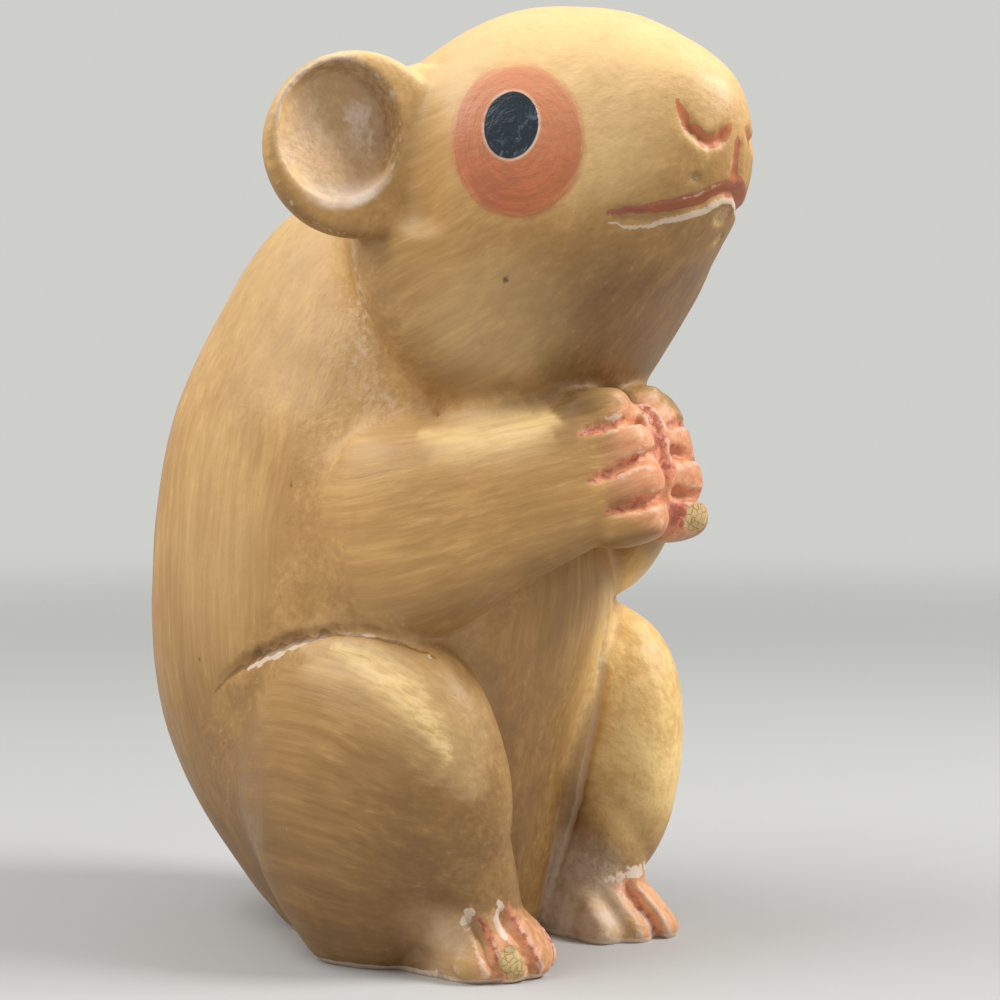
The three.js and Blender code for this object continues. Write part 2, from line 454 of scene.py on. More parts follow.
class Surface:
    """The carved skin as arrays: points in the forms' units, and the edges between them."""

    def __init__(self, mesh):
        self.mesh = mesh
        flat = np.empty(3 * len(mesh.vertices), np.float32)
        mesh.vertices.foreach_get("co", flat)
        self.points = to_forms(flat.reshape(-1, 3))
        pairs = np.empty(2 * len(mesh.edges), np.int32)
        mesh.edges.foreach_get("vertices", pairs)
        self.pairs = pairs.reshape(-1, 2)
        self.count = np.bincount(self.pairs.ravel(), minlength=len(self.points)).clip(1)

    def mean(self, values):
        """The mean of each vertex's neighbours."""
        a, b = self.pairs.T
        total = np.zeros_like(values)
        for k in range(values.shape[1]):
            for here, there in ((a, b), (b, a)):
                total[:, k] += np.bincount(here, values[there, k], len(values))
        return total / self.count[:, None]

    def smooth(self, times, share):
        """Draws each vertex towards its neighbours; share is how far, from 0 to 1."""
        share = np.broadcast_to(share, len(self.points))
        active = np.flatnonzero(share > 1e-3)
        place = np.full(len(self.points), -1)
        place[active] = np.arange(len(active))
        here = place[np.concatenate([self.pairs[:, 0], self.pairs[:, 1]])]
        there = np.concatenate([self.pairs[:, 1], self.pairs[:, 0]])[here >= 0]
        here = here[here >= 0]
        count = np.bincount(here, minlength=len(active)).clip(1)
        for _ in range(times):
            for k in range(3):
                mean = np.bincount(here, self.points[there, k], len(active)) / count
                self.points[active, k] += share[active] * (mean - self.points[active, k])

    def write(self):
        self.mesh.vertices.foreach_set("co", to_metres(self.points).astype(np.float32).ravel())
        self.mesh.update()

    def normals(self):
        self.write()
        flat = np.empty(3 * len(self.mesh.vertices), np.float32)
        self.mesh.vertex_normals.foreach_get("vector", flat)
        return flat.reshape(-1, 3).astype(float)


def stand_flat(mesh):
    """Cuts the carving off flat at the ground and closes the cut."""
    bm = bmesh.new()
    bm.from_mesh(mesh)
    everything = bm.verts[:] + bm.edges[:] + bm.faces[:]
    ground = {"plane_co": (0, 0, 0), "plane_no": (0, 0, 1)}
    bmesh.ops.bisect_plane(bm, geom=everything, clear_inner=True, **ground)
    rim = [edge for edge in bm.edges if edge.is_boundary]
    cap = bmesh.ops.holes_fill(bm, edges=rim, sides=0)["faces"]
    bmesh.ops.triangulate(bm, faces=cap)
    bm.to_mesh(mesh)
    bm.free()


def nearest(points, path, reach=10.0):
    """How far each point is from a path of straight steps, and the share of the path it is nearest to."""
    path = np.asarray(path, float)
    far = np.full(len(points), 1e3)
    share = np.zeros(len(points))
    close = np.flatnonzero(((points > path.min(0) - reach) & (points < path.max(0) + reach)).all(1))
    part, best, along_path = points[close], np.full(len(close), 1e3), np.zeros(len(close))
    for i, (a, b) in enumerate(zip(path[:-1], path[1:])):
        step = b - a
        if not step.any():
            continue
        along = np.clip((part - a) @ step / (step @ step), 0, 1)
        gap = np.linalg.norm(part - a - along[:, None] * step, axis=1)
        closer = gap < best
        best[closer] = gap[closer]
        along_path[closer] = (i + along[closer]) / (len(path) - 1)
    far[close], share[close] = best, along_path
    return far, share


def smooth_path(stops, steps=24):
    return line_along(stops, np.linspace(0, 1, steps))


def bump_shape(far, radius):
    """1 in the middle of a cut and 0 past its radius, with no edge at either."""
    return np.clip(1 - (far / radius) ** 2, 0, 1) ** 2


def ease(x, low, high):
    """0 below low, 1 above high, and smooth between."""
    x = np.clip((x - low) / (high - low), 0, 1)
    return x * x * (3 - 2 * x)


def ball(points, middle, low, high, stretch=(1, 1, 1)):
    """1 round the middle up to the low radius, 0 past the high one, and smooth between."""
    return 1 - ease(np.linalg.norm((points - np.array(middle)) / stretch, axis=1), low, high)


def both(path):
    """The path, and its mirror on the far side."""
    path = np.asarray(path, float)
    return [path, path * [-1, 1, 1]]


class Skin:
    """Finds the points of a skin that lie nearest to given places."""

    def __init__(self, points):
        self.points = points
        self.tree = KDTree(len(points))
        for i, point in enumerate(points):
            self.tree.insert(point, i)
        self.tree.balance()

    def find(self, places):
        return np.array([self.tree.find(place)[1] for place in places])

    def laid(self, paths, shift=(0, 0, 0)):
        """The paths, each moved by the shift and then laid on the skin."""
        return [self.points[self.find(path + np.array(shift))] for path in paths]


# Cuts of the face, laid on the head's own skin.
MOUTH_HALF = [[0.75, -33], [0.79, -41], [0.835, -49], [0.893, -64]]
MOUTH_FAR_HALF = [[share, -180 - angle] for share, angle in MOUTH_HALF[::-1]]
MOUTH = smooth_path(HEAD.at([*MOUTH_HALF, [0.93, -90], *MOUTH_FAR_HALF]), 48)
PHILTRUM = smooth_path(HEAD.at([[0.94, -90], [0.962, -90], [0.985, -90]]))
NOSTRIL = smooth_path(HEAD.at([[0.942, 4], [0.948, -22], [0.962, -42], [0.98, -53], [0.99, -62]]))

# Where the paint is scuffed, on the neck, and where light and highlights are painted: the top of the arm,
# and the thigh's ridge and top.
NECK_LINE = smooth_path(
    [[-17, -1, 76], [-16.6, 1, 70], [-15.6, 1.6, 65.5], [-15.6, -0.6, 60.8], [-15, -5, 57.6]]
)
NECK_VALLEY = smooth_path(
    [[-15, 8, 82], [-17, 3.5, 76], [-16.6, 0.5, 69], [-14.6, -4, 62], [-12, -10, 58.5]]
)
ARM_TOP = smooth_path(
    [[-16.5, -8.4, 55.9], [-14.5, -13.4, 55.7], [-11.5, -18.2, 56.4], [-8.7, -21.2, 57.7]]
)
THIGH_RIDGE = smooth_path(
    [[-21.5, -1, 33.9], [-21.3, -7.8, 31.8], [-20.5, -12.6, 28], [-19.2, -15.4, 23.1]]
)
THIGH_TOP = smooth_path([[-20, 3, 32], [-19.5, -6, 31], [-18, -12.6, 26], [-16.5, -16, 19]])

# The creases over the thigh and along the belly, the far foot's instep, and the seam between the hands.
THIGH_CREASE = smooth_path(
    [
        [-21.5, 16.5, 27.2],
        [-21.9, 12.5, 30.2],
        [-21.9, 8.4, 32.4],
        [-21.3, 3.5, 34.2],
        [-20.2, -1.2, 35.1],
        [-18.6, -8.2, 34.4],
        [-16.8, -12, 32.5],
    ],
    48,
)
BELLY_CREASE = smooth_path(
    [[8.4, -15, 38], [9.2, -12.8, 31], [9.6, -12.1, 25.9], [8.2, -10.2, 14.8], [9.8, -6.4, 2.9]], 40
)
FAR_INSTEP = smooth_path([[8.6, -13.4, 6.2], [10.4, -14.6, 7], [12.6, -15.4, 7.2], [14.2, -15.2, 6.8]])
HAND_SEAM = smooth_path(
    [[0, -24, 61], [0, -26.8, 57.5], [0, -28.8, 53.5], [0, -30, 49.5], [0, -29.6, 44.6]]
)

# How far the leg swells beside a crease, and how deep a chip and a fleck are, in metres.
THIGH_SWELL, LEG_SWELL, CHIP_DEPTH, FLECK_DEPTH = 0.0009, 0.0005, 0.0006, 0.0007

# Chips down to the wood: place and radius. The flecks are small dark nicks in the paint.
CHIPS = (
    ([-14.7, -20.6, 2.4], 2.6),
    ([3.4, -30.2, 46.8], 2.4),
    ([11.8, -22.2, 0.8], 1.4),
    ([0.2, -35, 77.6], 1.5),
    ([2, -33.1, 75.4], 0.9),
    ([-4.7, -35, 81.2], 0.6),
)
FLECKS = (
    ([-15.5, -19.6, 71.3], 0.35),
    ([-14.7, -15.7, 65], 0.25),
    ([-21.1, 5, 50.2], 0.3),
    ([-22, 9, 32.2], 0.8),
    ([-21.4, 18.4, 30.8], 0.3),
    ([16, 4, 60], 0.3),
    ([9, 33, 52], 0.35),
    ([-6, 37, 38], 0.3),
)

# The middle of the near eye, and the directions across it, up it and out of it, in metres.
EYE_MIDDLE = np.array([-0.0426, -0.0593, 0.2428])
EYE_OUT = np.array([-0.766, -0.643, 0.0])
EYE_ACROSS = np.array([0.643, -0.766, 0.0])
EYE_UP = np.array([0.0, 0.0, 1.0])

# The patch's middle off the eye's, across and up, and the half-widths and half-heights of both, in metres.
PATCH_MIDDLE, PATCH_SIZE, PUPIL_SIZE = (0.0017, -0.0042), (0.0184, 0.0216), (0.0077, 0.0096)


def between_fingers():
    """Three cuts between the fingers of each hand, from the knuckles to the tips."""
    cuts = (
        [
            [-8.6, -23, 55.8], [-7.8, -24.1, 56.1], [-6.3, -25.1, 56.5],
            [-5.1, -26.3, 56.9], [-1.9, -26.4, 57.3],
        ],
        [[-8.8, -24.4, 51], [-8.4, -25.6, 51.4], [-7.1, -26.9, 52.2], [-5.1, -28, 53.2], [-1.6, -27.9, 54]],
        [[-7.9, -26, 48], [-7.5, -26.9, 48.2], [-6.4, -28.4, 48.6], [-5, -29.4, 49.1], [-1, -28.8, 49.6]],
    )
    return [path for stops in cuts for path in both(smooth_path(stops))]


def between_toes():
    """The cuts between the toes, down to the ground: three on the near foot and two on the far one."""
    cuts = (
        [[-17, -15.4, 7.9], [-16.3, -16.9, 4.9], [-16.4, -18.4, 2.6], [-15.8, -19.6, -0.4]],
        [[-13.9, -17.4, 8.1], [-13.3, -18.9, 5.2], [-12.8, -20.4, 2.8], [-12.4, -21.8, -0.4]],
        [[-8.3, -15.2, 7], [-7.6, -17.9, 4.9], [-7.6, -19.6, 2.7], [-8.6, -21, -0.4]],
        [[10, -14.4, 6.4], [11, -16.3, 3.6], [11.9, -17.6, 1.3], [12.2, -18.4, -0.4]],
        [[13.6, -14.4, 6.6], [14.8, -16, 4], [15.7, -17.4, 1.6], [16, -18, -0.4]],
    )
    return [smooth_path(stops) for stops in cuts]


def noisy(points, size, seed):
    """Gentle lumps about size across, from -1 to 1, the same on every run."""
    return np.array([noise.noise(point) for point in points / size + seed])


def blend_forms(surface):
    """Runs the forms into each other where the carver did."""
    points = surface.points
    surface.smooth(3, 0.5)
    # The shoulder, the hip and the foot of the thigh run into the body with no crease.
    for middle, radius in (((21, 8, 46), 12), ((20, 12, 10), 13), ((20, 14, 20), 12), ((14, 22, 16), 12)):
        far, near = (ball(points, place, 0.6, 1, radius) for place in both(middle))
        surface.smooth(200, 0.7 * np.maximum(near, far))
    # The valley between the head and the shoulders is a soft one.
    for path in both(NECK_VALLEY):
        far, _ = nearest(points, path)
        surface.smooth(140, 0.8 * (1 - ease(far, 4, 8)))
    # The knuckles run into the back of the hand.
    for path in both([[-8.2, -18.6, 60], [-8.8, -19.6, 53], [-8.8, -20.4, 46]]):
        far, _ = nearest(points, path)
        surface.smooth(30, 0.6 * (1 - ease(far, 1.5, 4)))


def carve_details(surface, settings):
    """Cuts the lines of the face, hands and feet, the creases of the legs, and the marks of the chisel."""
    points = surface.points
    normals = surface.normals()
    depth = np.zeros(len(points))
    skin = Skin(points)

    def cut_line(paths, deep, radius, start=0.12, end=0.12):
        for path in skin.laid(paths):
            far, share = nearest(points, path, 2)
            full = ease(share, -0.001, start) * ease(1 - share, -0.001, end)
            np.maximum(depth, deep * full * bump_shape(far, radius), out=depth)

    cut_line([MOUTH], settings.mouth_depth, 1.05)
    cut_line(both(NOSTRIL), settings.nostril_depth, 0.95, 0.3, 0.3)
    cut_line([PHILTRUM], settings.nostril_depth * 0.8, 0.8, 0.2, 0.2)
    cut_line(between_fingers(), settings.finger_depth, 0.8, 0.6, 0.01)
    cut_line([HAND_SEAM], settings.finger_depth * 1.1, 1.2)
    cut_line(between_toes(), settings.toe_depth, 1.0, 0.2, 0.01)
    cut_line(both(THIGH_CREASE), settings.crease_depth, 0.9, 0.3, 0.3)
    cut_line([BELLY_CREASE], settings.crease_depth * 0.6, 0.9)
    for middle, radius in CHIPS:
        depth += CHIP_DEPTH * ball(points, middle, radius * 0.6, radius)
    for middle, radius in FLECKS:
        depth += FLECK_DEPTH * ball(points, middle, 0, radius)
    # The thigh swells just under its crease, and the far leg just behind the belly's.
    swells = skin.laid([*both(THIGH_CREASE - [0, 0, 2]), BELLY_CREASE + [1.6, 0, 0]])
    for path, rise in zip(swells, (THIGH_SWELL, THIGH_SWELL, LEG_SWELL)):
        far, share = nearest(points, path, 3)
        depth -= rise * ease(share, 0, 0.2) * ease(1 - share, 0, 0.3) * bump_shape(far, 2)
    # Low facets that the chisel left, deepest in the neck.
    lumps = 0.6 * noisy(points, 6.5, 3.1) + 0.4 * noisy(points * [1, 1, 0.6], 2.6, 7.7)
    neck = np.zeros(len(points))
    for path in both(NECK_LINE):
        neck = np.maximum(neck, 1 - ease(nearest(points, path)[0], 2, 7))
    depth += settings.chisel_depth * lumps * (1 + 1.2 * neck)
    surface.points -= normals * depth[:, None] * (CROWN_Z / HEIGHT)
    surface.smooth(1, 0.4)


# Paint zones: masks kept on the mesh, which the paint's nodes read.

FORMS = (TORSO, HEAD, THIGH, THIGH.mirrored(), ARM, FAR_ARM, SOLE, FAR_SOLE)


def brush_ways(points):
    """Each point laid out along its own form, for brush strokes that follow it, and that form's number."""
    turns = np.linspace(0, 2 * np.pi, 40, endpoint=False)
    shares, turns = np.meshgrid(np.linspace(0.01, 0.99, 48), turns)
    t, cos, sin = shares.ravel(), np.cos(turns.ravel()), np.sin(turns.ravel())
    skins, axes, laid = [], [], []
    for k, form in enumerate(FORMS):
        skin = form.skin(t, cos, sin)
        spine = line_along(form.spine, t)
        steps = line_along(form.spine, np.linspace(0, 1, 65))
        length = np.linalg.norm(np.diff(steps, axis=0), axis=1).sum()
        frame_axes = np.stack(form.axes(t), axis=1)
        local = np.einsum("nij,nj->ni", frame_axes, skin - spine)
        local[:, 0] += t * length + 40 * k
        skins.append(skin)
        axes.append(frame_axes)
        laid.append(local)
    skins, axes, laid = np.vstack(skins), np.vstack(axes), np.vstack(laid)
    near = Skin(skins).find(points)
    ways = laid[near] + np.einsum("nij,nj->ni", axes[near], points - skins[near])
    return ways, near // len(t)


def bends(surface, normals):
    """How hollow the skin is at each point, above 0 in a hollow, in small forms and in large ones."""
    bend = surface.mean(surface.points) - surface.points
    first, other = surface.pairs.T
    size = np.linalg.norm(surface.points[first] - surface.points[other], axis=1)
    step = np.bincount(surface.pairs.ravel(), np.repeat(size, 2), len(bend)) / surface.count
    bend = ((bend * normals).sum(1) / step**2)[:, None]
    for _ in range(4):
        bend = 0.5 * bend + 0.5 * surface.mean(bend)
    tight = bend[:, 0].copy()
    for _ in range(24):
        bend = 0.4 * bend + 0.6 * surface.mean(bend)
    return tight, bend[:, 0]


def line_masks(points):
    """The masks that follow a line on the skin."""
    skin = Skin(points)

    def line(paths, radius, soft=0.5, taper=0.15, shift=(0, 0, 0)):
        mask = np.zeros(len(points))
        for path in skin.laid(paths, shift):
            far, share = nearest(points, path, radius + 0.5)
            width = radius * (0.35 + 0.65 * ease(share, 0, taper) * ease(1 - share, 0, taper))
            ends = ease(share, -0.001, 0.03) * ease(1 - share, -0.001, 0.03)
            mask = np.maximum(mask, (1 - ease(far / width, 1 - soft, 1)) * ends)
        return mask

    fingers, toes = between_fingers(), between_toes()
    near_toes, far_toes = toes[:3], toes[3:]
    # The pale edges, painted highlights along the cuts, start part of the way down the fingers, and the
    # near toes' end before the ground.
    finger_edges = [
        part for k in (0, 1) for part in (fingers[k][11:], fingers[k + 2][13:], fingers[k + 4][3:17])
    ]
    toe_edges = [path[:17] for path in near_toes]
    return {
        "mouth": np.maximum(
            line([MOUTH], 1.15, 0.45, 0.35, (0, 0, 0.3)),
            line([PHILTRUM, PHILTRUM - [0, 0, 1.5]], 0.9),
        ),
        "nostril": line(both(NOSTRIL), 0.62, 0.45, 0.15),
        # The lip is a painted highlight under the mouth's cut.
        "lip": line([MOUTH], 0.5, 0.6, 0.4, (0, 0, -0.95)),
        # Deep pink in the cuts, painted shade.
        "lines": np.maximum.reduce(
            [
                line(fingers, 0.62, 0.8, 0.3),
                line(near_toes, 0.6, 0.7, 0.3, (0.7, -0.2, 0.3)),
                line(far_toes, 0.55, 0.7, 0.3),
                line([HAND_SEAM], 1.3, 0.5),
            ]
        ),
        # Painted highlights along the edges of the cuts.
        "line_edges": np.maximum.reduce(
            [
                line(finger_edges, 0.5, 0.6, 0.4, (0, 0, 0.7)),
                line(toe_edges, 1.15, 0.6, 0.4, (-0.3, 0, 0.2)),
                line(far_toes[:1], 0.8, 0.8, 0.2, (-0.9, 0, 0.4)),
                line([FAR_INSTEP], 0.9, 0.8, 0.3),
            ]
        ),
        # Pools of painted light on the thigh's top and the arm's top.
        "thigh_top": line([THIGH_TOP], 8, 1, 0.3),
        "arm_top": line(both(ARM_TOP), 5.5, 0.9, 0.3),
        "scuffs": line(both(NECK_LINE), 4, 1, 0.5),
        # A painted highlight along the arm's top and the thigh's ridge.
        "bright": line(both(ARM_TOP) + both(THIGH_RIDGE), 3, 1, 0.4),
        # The pale lines along the belly's crease and under the thigh's crease are partly rubbed paint and
        # partly painted highlight; the thigh's crease itself gets painted shade.
        "belly_edge": line([BELLY_CREASE], 0.8, 0.8, 0.3),
        "crease": line(both(THIGH_CREASE), 0.75, 0.7, 0.4),
        "crease_edge": line(both(THIGH_CREASE[8:]), 0.8, 0.7, 0.3, (0, 0, -0.9)),
    }


def ear_masks(points):
    """The masks of the ears' bowls: the whole bowl, its steep wall for painted shade, and its lower lip and
    pale glints for painted highlights.
    """
    near_side = np.column_stack([-np.abs(points[:, 0]), points[:, 1:]])
    depth, inward, upward = ear_place(near_side, 1)
    reach = bowl_reach(inward, upward)
    front = ease(depth, -2.6, -2.2)
    bowl = (1 - ease(reach, 0.86, 1.04)) * front
    wall = ease(reach, 0.7, 0.92) * (1 - ease(reach, 0.99, 1.06)) * front
    lip = ease(reach, 0.56, 0.9) * (1 - ease(reach, 1.02, 1.1)) * front
    return {
        "bowl": bowl,
        "wall": wall * ease(upward + 1.2 * inward, -5, 3),
        "daubs": bowl * ease(inward, -5, 1) * ease(upward + inward, -3, 3) * (1 - ease(reach, 0.6, 0.95)),
        "bowl_lip": lip * (1 - ease(upward, -5.5, -2)) * ease(inward, -6.5, -2.5),
    }


def zone_masks(points, normals, lines):
    """The masks of whole areas: hands, feet, legs, and where light and shade are painted in as lighter or
    browner paint.
    """
    x, y, z = np.abs(points[:, 0]), points[:, 1], points[:, 2]
    hand = ball(points, [0, -28.5, 52.5], 5.5, 12, (1, 1, 1.15)) * ease(-y, 17, 22)
    near_toes = ease(-y, 15, 18.5) * ease(x, 6.5, 8.5)
    far_toes = ease(-y, 12.4, 14.6) * ease(x, 7, 9.5)
    foot = (1 - ease(z, 6.4, 8.8)) * np.where(points[:, 0] < 0, near_toes, far_toes)
    foot_side = (1 - ease(z, 3.5, 9)) * ease(-y, 8, 14)
    # Painted light on the far leg, which faces the light.
    far_leg = ball(points, [14.5, -16, 26], 5, 13.5, (1, 1, 1.5))
    # Painted shade, as browner paint where less light falls: the belly under the arms, the bottom of the
    # figure (less on the far leg), the undersides and under the chin.
    belly = (1 - ease(x, 8, 12)) * ease(-y, 2, 8) * (1 - ease(z, 42, 48))
    low = (1 - ease(z, 2, 48)) * (0.9 + 0.1 * ease(x, 8, 18)) * (1 - foot_side) * (1 - 0.9 * far_leg)
    below = 0.75 * ease(-normals[:, 2], 0.05, 0.7) * ease(z, 20, 40)
    chin = ball(points, [0, -26, 65], 7, 18, (1.3, 1, 0.95)) * (1 - hand)
    # Painted light: cream pools where the light falls on the thigh's top, the arm's top, the face and the
    # back.
    pale = [
        0.6 * lines.pop("thigh_top"),
        lines.pop("arm_top"),
        0.5 * ball(points, [-15, -18, 67], 3, 10, (1, 1.2, 1)),
        0.8 * ball(points, [-12, -27, 85], 3, 9, (1, 1.3, 1)),
        0.4 * ball(points, [-22, 16, 45], 4, 11, (1, 1, 1.6)),
    ]
    inner_leg = ball(points, [8, -9, 2], 4, 8, (1, 1.3, 1.4))
    return {
        "hand": hand,
        "foot": foot,
        # Painted light: cream on the crown, more where the skin faces up.
        "crown": 0.7 * ease(normals[:, 2], -0.2, 0.9) * ease(z, 40, 80) + 0.3 * ease(z, 78, 98),
        # Painted shade, laid on as brown paint.
        "under": np.maximum.reduce([below, chin, np.minimum(low + 0.2 * belly, 1)]),
        "pale": np.maximum.reduce(pale),
        "far_leg": far_leg,
        "foot_side": foot_side * (1 - foot) * ease(x, 10, 14),
        "inner_leg": inner_leg * ease(0.64 * points[:, 0] - 0.77 * y - 0.2 * z, 7.8, 9.2),
        "rim": 1 - ease(z, 0.25, 0.9),
    }


def spot_mask(points, places):
    return np.maximum.reduce([ball(points, middle, 0.5, 1.1, radius) for middle, radius in places])


def border_mask(surface, forms):
    """1 where the brush strokes of two forms meet, fading out over a few millimetres."""
    first, other = surface.pairs.T
    border = np.zeros(len(surface.points))
    border[surface.pairs[forms[first] != forms[other]].ravel()] = 1
    for _ in range(3):
        grown = border.copy()
        np.maximum.at(grown, first, border[other])
        np.maximum.at(grown, other, border[first])
        border = grown
    fade = border[:, None]
    for _ in range(5):
        fade = 0.3 * fade + 0.7 * surface.mean(fade)
    return np.maximum(fade[:, 0], border)


def paint_zones(mesh):
    """Writes every mask, and the way of the brush, on the mesh."""
    surface = Surface(mesh)
    points, normals = surface.points, surface.normals()
    tight, wide = bends(surface, normals)
    ways, forms = brush_ways(points)
    lines = line_masks(points)
    masks = {
        **zone_masks(points, normals, lines),
        **lines,
        **ear_masks(points),
        "hollow": ease(tight, 0.05, 0.3),
        "ridge": ease(-tight, 0.12, 0.45),
        "valley": ease(wide, 0.01, 0.08),
        "bare": spot_mask(points, CHIPS),
        "flecks": spot_mask(points, FLECKS),
        "border": border_mask(surface, forms),
    }
    for name, values in masks.items():
        mesh.attributes.new(name, "FLOAT", "POINT").data.foreach_set("value", values.astype(np.float32))
    ways = (ways * (HEIGHT / CROWN_Z)).astype(np.float32)
    mesh.attributes.new("stroke", "FLOAT_VECTOR", "POINT").data.foreach_set("vector", ways.ravel())


# Paint: shader nodes.


class Nodes:
    """Adds nodes to one tree. Each input is a plain value or the socket that feeds it."""

    def __init__(self, tree):
        self.tree = tree

    def feed(self, socket, value):
        if isinstance(value, bpy.types.NodeSocket):
            self.tree.links.new(value, socket)
        elif value is not None:
            socket.default_value = (*value, 1) if socket.type == "RGBA" and len(value) == 3 else value

    def add(self, kind, inputs=(), **settings):
        node = self.tree.nodes.new("ShaderNode" + kind)
        for key, value in settings.items():
            setattr(node, key, value)
        for key, value in dict(inputs).items():
            self.feed(node.inputs[key], value)
        return node

    def attribute(self, name, output="Fac"):
        return self.add("Attribute", attribute_name=name).outputs[output]

    def math(self, operation, a, b=0.0):
        return self.add("Math", {0: a, 1: b}, operation=operation).outputs[0]

    def plus(self, a, b):
        return self.math("ADD", a, b)

    def minus(self, a, b):
        return self.math("SUBTRACT", a, b)

    def times(self, a, b):
        return self.math("MULTIPLY", a, b)

    def most(self, first, *others):
        for other in others:
            first = self.math("MAXIMUM", first, other)
        return first

    def vector(self, operation, a, b=None, scale=None):
        node = self.add("VectorMath", operation=operation)
        self.feed(node.inputs[0], a)
        self.feed(node.inputs[1], b)
        if scale is not None:
            self.feed(node.inputs["Scale"], scale)
        return node.outputs["Value" if operation in ("DOT_PRODUCT", "LENGTH") else "Vector"]

    def color(self, share, a, b):
        return self.add("Mix", {0: share, 6: a, 7: b}, data_type="RGBA", clamp_factor=True).outputs[2]

    def between(self, share, a, b):
        return self.add("Mix", {0: share, 2: a, 3: b}, data_type="FLOAT", clamp_factor=True).outputs[0]

    def ease(self, value, low, high, start=0.0, end=1.0):
        names = {"Value": value, "From Min": low, "From Max": high, "To Min": start, "To Max": end}
        return self.add("MapRange", names, interpolation_type="SMOOTHSTEP").outputs[0]

    def noise(self, vector, scale, detail=3.0, roughness=0.5, distortion=0.0, output="Fac"):
        names = {"Vector": vector, "Scale": scale, "Detail": detail, "Roughness": roughness}
        names["Distortion"] = distortion
        return self.add("TexNoise", names, noise_dimensions="3D").outputs[output]

    def bump(self, height, distance, strength):
        names = {"Height": height, "Distance": distance, "Strength": strength}
        return self.add("Bump", names).outputs[0]

    def group(self, tree, inputs):
        node = self.tree.nodes.new("ShaderNodeGroup")
        node.node_tree = tree
        for key, value in inputs.items():
            self.feed(node.inputs[key], value)
        return node.outputs[0]


def new_group(name, inputs):
    """A node group that puts out one value. Each input is a label, a kind of socket and a default."""
    tree = bpy.data.node_groups.new(name, "ShaderNodeTree")
    for label, kind, default in inputs:
        socket = tree.interface.new_socket(name=label, in_out="INPUT", socket_type="NodeSocket" + kind)
        if default is not None:
            socket.default_value = default
    tree.interface.new_socket(name="Value", in_out="OUTPUT", socket_type="NodeSocketFloat")
    given = tree.nodes.new("NodeGroupInput").outputs
    return tree, Nodes(tree), given, tree.nodes.new("NodeGroupOutput").inputs["Value"]


def brush_strokes():
    """Long thin streaks along the x of the coordinates, as a stiff brush leaves them."""
    vector = ("Vector", "Vector", None)
    sizes = (("Along", "Float", 30.0), ("Across", "Float", 500.0), ("Wander", "Float", 0.002))
    tree, nodes, given, out = new_group("Brush strokes", (vector, *sizes))
    drift = nodes.noise(given["Vector"], 28, 2, output="Color")
    drift = nodes.vector("SUBTRACT", drift, (0.5, 0.5, 0.5))
    way = nodes.vector("ADD", given["Vector"], nodes.vector("SCALE", drift, scale=given["Wander"]))
    scale = nodes.add("CombineXYZ", {0: given["Along"], 1: given["Across"], 2: given["Across"]}).outputs[0]
    nodes.feed(out, nodes.noise(nodes.vector("MULTIPLY", way, scale), 1, 4, 0.6))
    return tree


def broken_mask():
    """A mask whose soft edge is broken up by a grain."""
    inputs = (("Mask", "Float", 0.0), ("Grain", "Float", 0.5), ("Rough", "Float", 1.0))
    tree, nodes, given, out = new_group("Broken mask", inputs)
    pushed = nodes.times(nodes.minus(given["Grain"], 0.5), given["Rough"])
    nodes.feed(out, nodes.ease(nodes.plus(pushed, given["Mask"]), 0.38, 0.62))
    return tree


def new_material(name):
    material = bpy.data.materials.new(name)
    material.use_nodes = True
    nodes = Nodes(material.node_tree)
    return material, nodes, material.node_tree.nodes["Principled BSDF"].inputs


class Coats:
    """The coats of paint: noises that break them up, and the colour so far."""

    def __init__(self, nodes, paint, strokes, broken):
        self.nodes, self.paint, self.broken, self.mask = nodes, paint, broken, nodes.attribute
        self.place = nodes.add("TexCoord").outputs["Object"]
        self.cloud = nodes.noise(self.place, 22, 3, 0.55, 0.4)
        self.blotch = nodes.noise(self.place, 75, 4, 0.6, 0.6)
        self.grain = nodes.noise(self.place, 420, 3, 0.65)
        way = nodes.attribute("stroke", "Vector")
        fine = nodes.group(strokes, {"Vector": way, "Along": 34.0, "Across": 560.0, "Wander": 0.004})
        broad = nodes.group(strokes, {"Vector": way, "Along": 14.0, "Across": 150.0, "Wander": 0.008})
        self.fine = nodes.between(self.mask("border"), fine, self.grain)
        self.broad = nodes.between(self.mask("border"), broad, self.blotch)
        tone = nodes.plus(nodes.times(self.fine, 0.5), nodes.times(self.broad, 0.5))
        self.tone = nodes.plus(tone, nodes.times(nodes.minus(self.cloud, 0.5), 0.5))
        self.color = nodes.color(nodes.ease(self.tone, 0.3, 0.7), paint.brown_ochre, paint.ochre)

    def patchy(self, share, grain, rough):
        return self.nodes.group(self.broken, {"Mask": share, "Grain": grain, "Rough": rough})

    def lay(self, share, color):
        self.color = self.nodes.color(share, self.color, color)


